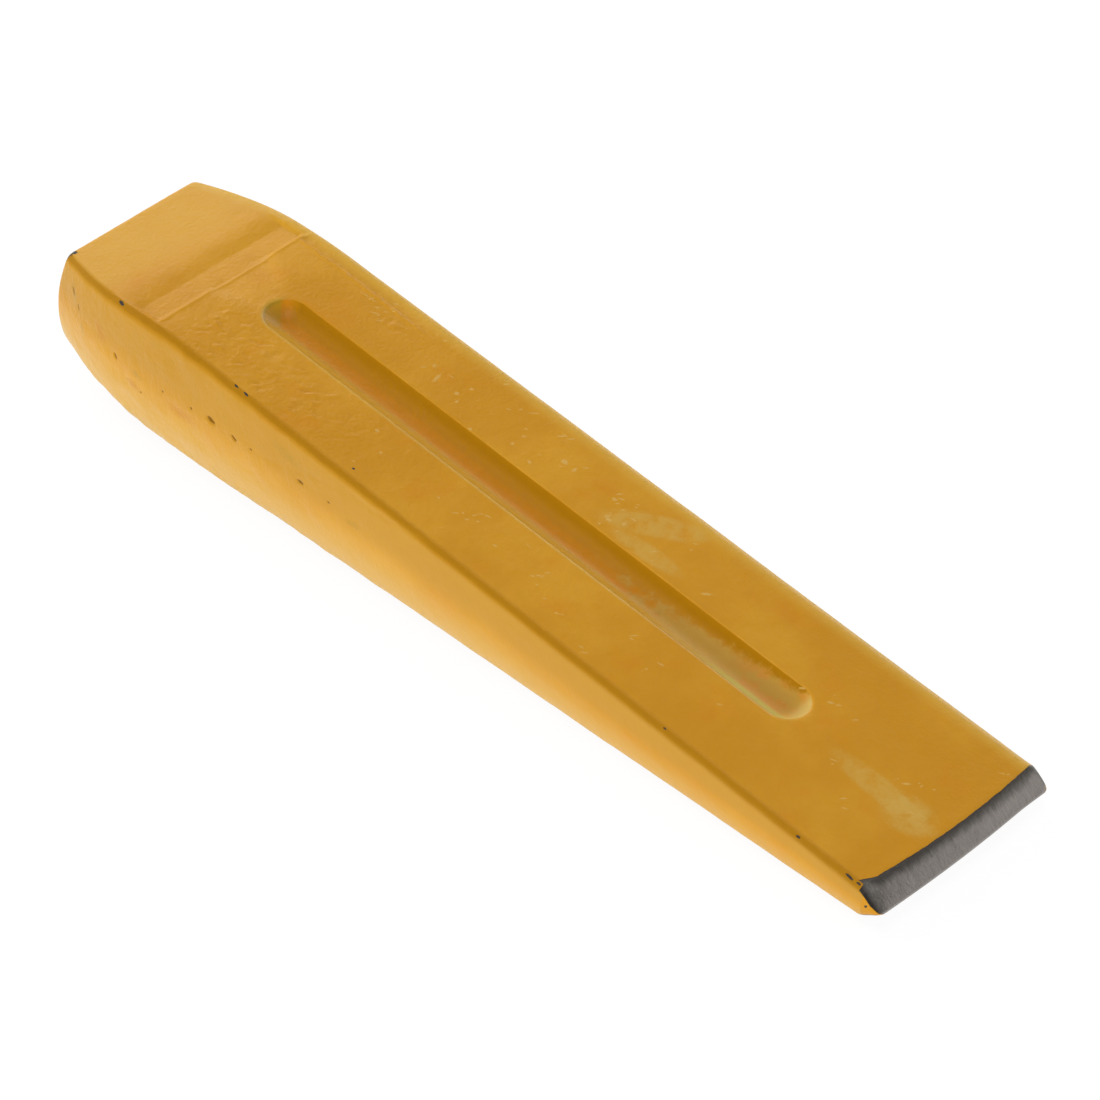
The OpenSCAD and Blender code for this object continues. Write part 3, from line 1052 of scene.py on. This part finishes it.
def grooveColour(bench, at, colour):
    out, aside = grooveMap(bench, at)
    wall = grooveTone(bench, at, aside)
    dusty, dust = dustInGroove(bench, at, aside)
    wall = bench.blend(bench.times(dusty, dustLayer["cover"]), wall, dust)
    line = bench.times(bench.ramp(out, -0.8, -0.25), bench.ramp(aside, -0.5, -3.0, top=0.45))
    wall = bench.blend(line, wall, paint["rimLine"])
    # painted highlight just outside the groove's rim, strongest on the near side, fading towards the toe
    rimLit = bench.times(bench.ramp(out, 1.0, 0.4), bench.ramp(aside, 1.0, -3.0, top=0.3),
                       bench.ramp(at["x"], 175, 145, 0.1, 1))
    colour = bench.blend(rimLit, colour, paint["rimHighlight"])
    inside = bench.ramp(out, 0.10, -0.14)
    return bench.blend(inside, colour, wall), bench.times(dusty, inside)


def pastThePaint(bench, at):
    aside = bench.calc("ABSOLUTE", bench.calc("SUBTRACT", at["y"], wedge["paintMiddle"]))
    bowed = bench.shift(wedge["paintEnd"], bench.calc("POWER", aside, 2.0), -wedge["paintBow"])
    inner, outer = wedge["paintCornerSpan"]
    corner = bench.ramp(at["y"], -inner, -outer, top=wedge["paintCorner"])
    endOfPaint = bench.calc("SUBTRACT", bowed, corner)
    ragged = bench.shift(-0.45, bench.noise(at["place"], 0.35, 3.0, 0.6), 0.5)
    return bench.calc("SUBTRACT", bench.calc("SUBTRACT", at["x"], endOfPaint), ragged)


def groundSteel(bench, at, past, strokes):
    # grinding strokes, with scale left beside the paint's edge and at the outer corners
    patches = bench.noise(at["place"], 0.25, 3.0, 0.6)
    metal = bench.blend(bench.ramp(strokes, 0.0, 1.0), steel["dull"], steel["bright"])
    metal = bench.blend(bench.ramp(patches, 0.5, 0.75, top=0.4), metal, steel["dull"])
    specks = bench.noise(at["place"], 1.7, 4.0, 0.7)
    metal = bench.blend(bench.ramp(specks, 0.52, 0.70, top=0.5), metal, steel["dull"])
    fibrous = bench.shift(bench.times(patches, 1.3), strokes, 0.9)
    scaled = bench.ramp(bench.calc("ADD", past, fibrous), 3.6, 1.7, top=0.8)
    metal = bench.blend(scaled, metal, steel["scaled"])
    outer = bench.ramp(bench.calc("ABSOLUTE", at["y"]), 24.5, 25.3, top=0.75)
    rim = bench.calc("MAXIMUM", bench.ramp(past, 0.40, 0.10, top=0.8), outer)
    return bench.blend(rim, metal, steel["scaled"])


def fineRelief(bench, at, strokes, bare, uncoated, nicked):
    # orange peel, forged skin, dents, grinding strokes and the coat's own edge
    peel = bench.noise(at["place"], 1.1, 3.0, 0.55)
    skinned = bench.noise(at["place"], 0.3, 4.0, 0.6)
    height = bench.times(peel, bench.ramp(at["x"], 130, 60, 0.9, 2.2))
    height = bench.shift(height, skinned, 2.6)
    dented = bench.times(bench.ramp(at["x"], 120, 40, 0, 5.0), bench.ramp(at["onSide"], 1.0, 0.9))
    height = bench.shift(height, bench.noise(at["place"], 0.42, 3.0, 0.6), dented)
    height = bench.shift(height, bench.times(strokes, bare), 0.15)
    height = bench.shift(height, uncoated, -1.2)
    height = bench.shift(height, nicked, 0.5)
    return bench.node("ShaderNodeBump", Strength=0.35, Distance=0.00018, Height=height).outputs[0]


def roughnessOf(bench, at, uncoated, dusty):
    rough = bench.shift(paint["roughness"] - 0.05, bench.noise(at["place"], 0.2, 3.0), 0.10)
    rough = bench.shift(rough, uncoated, steel["roughness"] - paint["roughness"])
    rough = bench.shift(rough, at["onArris"], 0.25)
    return bench.shift(rough, dusty, 0.1)


def paintedSteel():
    bench = Bench("yellowPaintOverSteel")
    spot = bench.node("ShaderNodeTexCoord").outputs["Object"]
    place = bench.node("ShaderNodeMapping", Vector=spot, Location=pollPlace,
                       Rotation=(0, turnBack, 0), Scale=(1000, 1000, 1000)).outputs[0]
    x, y, z = bench.node("ShaderNodeSeparateXYZ", Vector=place).outputs
    grain = bench.calc("SUBTRACT", bench.noise(place, 1.9, 3.0, 0.7), 0.5)
    at = {"place": place, "x": x, "y": y, "grain": grain,
          "onSide": bench.note("sideHeight"), "onArris": bench.note("onArris")}

    colour = paintedLightAndRubbing(bench, at, coatTone(bench, at))
    colour, dusty = grooveColour(bench, at, colour)
    nicked = bench.ramp(bench.shift(bench.note("fromFleck"), grain, 1.8), 1.3, 0.6, top=0.6)
    colour = bench.blend(nicked, colour, paint["pale"])
    # darker in the pits
    pitted = bench.ramp(bench.shift(bench.note("fromPit"), grain, 0.5), 1.05, 0.65, top=0.85)
    colour = bench.blend(pitted, colour, paint["darkInPits"])

    past = pastThePaint(bench, at)
    isGround = bench.calc("GREATER_THAN", bench.note("ground"), 0.5)
    bare = bench.times(bench.ramp(past, -0.06, 0.06), isGround)
    strokes = bench.noise(place, 1.0, 4.0, 0.65, steel["strokeStretch"])
    colour = bench.blend(bare, colour, groundSteel(bench, at, past, strokes))
    chipped = bench.ramp(bench.shift(bench.note("fromChip"), grain, 1.3), 1.08, 0.92)
    colour = bench.blend(chipped, colour, steel["chip"])

    uncoated = bench.calc("MAXIMUM", bare, chipped)
    bump = fineRelief(bench, at, strokes, bare, uncoated, nicked)
    surface = bench.node("ShaderNodeBsdfPrincipled", Base_Color=colour, Metallic=bare, IOR=1.30,
                         Roughness=roughnessOf(bench, at, uncoated, dusty), Normal=bump)
    bench.node("ShaderNodeOutputMaterial", Surface=surface.outputs[0])
    return bench.material


forged.data.materials.clear()
forged.data.materials.append(paintedSteel())
print("paint and ground steel made")

# Floor, light and background
studio = {
    "floorSize": 6,
    "floorDrop": 0.0002,
    "floorColour": (0.9, 0.9, 0.9),
    "seenWhite": 0.90,
    "seenStrength": 1.04,
    "sky": 0.12,
    "lampDistance": 1.6,
    "lampSize": 0.9,
    "softboxes": [  # name, azimuth, elevation, watts
        ("pollSide", 180, 24, 15.5),
        ("farLeft", 150, 26, 5.6),
        ("nearLow", 287, 9, 25),
        ("behind", 100, 20, 8.5),
        ("toeSide", 42, 22, 3),
        ("above", 0, 89, 6.5),
    ],
    "unreflected": ("pollSide", "nearLow"),
}


def addFloor():
    deselectAll()
    bpy.ops.mesh.primitive_plane_add(size=studio["floorSize"], location=(0, 0, -studio["floorDrop"]))
    floor = bpy.context.object
    floor.name = "studio_floor"
    bench = Bench("whiteFloor")
    rays = bench.node("ShaderNodeLightPath").outputs
    seen = bench.calc("MAXIMUM", bench.calc("MAXIMUM", rays["Is Camera Ray"], rays["Is Glossy Ray"]),
                      rays["Is Transmission Ray"])
    matt = bench.node("ShaderNodeBsdfDiffuse", Color=studio["floorColour"] + (1,))
    white = bench.node("ShaderNodeEmission", Color=(1, 1, 1, 1), Strength=studio["seenStrength"])
    surface = bench.node("ShaderNodeMixShader", i0=bench.calc("MULTIPLY", seen, studio["seenWhite"]),
                         i1=matt.outputs[0], i2=white.outputs[0])
    bench.node("ShaderNodeOutputMaterial", Surface=surface.outputs[0])
    floor.data.materials.append(bench.material)


def addSoftbox(name, azimuth, elevation, power):
    away = directionOf(math.radians(azimuth), math.radians(elevation))
    bpy.ops.object.light_add(type="AREA", location=away * studio["lampDistance"])
    lamp = bpy.context.object
    lamp.name = name
    lamp.data.shape = "SQUARE"
    lamp.data.size = studio["lampSize"]
    lamp.data.energy = power
    lamp.rotation_euler = away.to_track_quat("Z", "Y").to_euler()
    lamp.visible_glossy = name not in studio["unreflected"]


def addWorld():
    world = bpy.data.worlds.new("studioSky")
    bpy.context.scene.world = world
    world.use_nodes = True
    tree = world.node_tree
    seen = tree.nodes.new("ShaderNodeLightPath").outputs["Is Camera Ray"]
    level = tree.nodes.new("ShaderNodeMapRange")
    level.inputs["To Min"].default_value = studio["sky"]
    level.inputs["To Max"].default_value = 1
    tree.links.new(seen, level.inputs["Value"])
    tree.links.new(level.outputs["Result"], tree.nodes["Background"].inputs["Strength"])
    tree.nodes["Background"].inputs["Color"].default_value = (1, 1, 1, 1)


addFloor()
for softbox in studio["softboxes"]:
    addSoftbox(*softbox)
addWorld()
bpy.context.scene.view_settings.view_transform = "Standard"
print("studio lit")
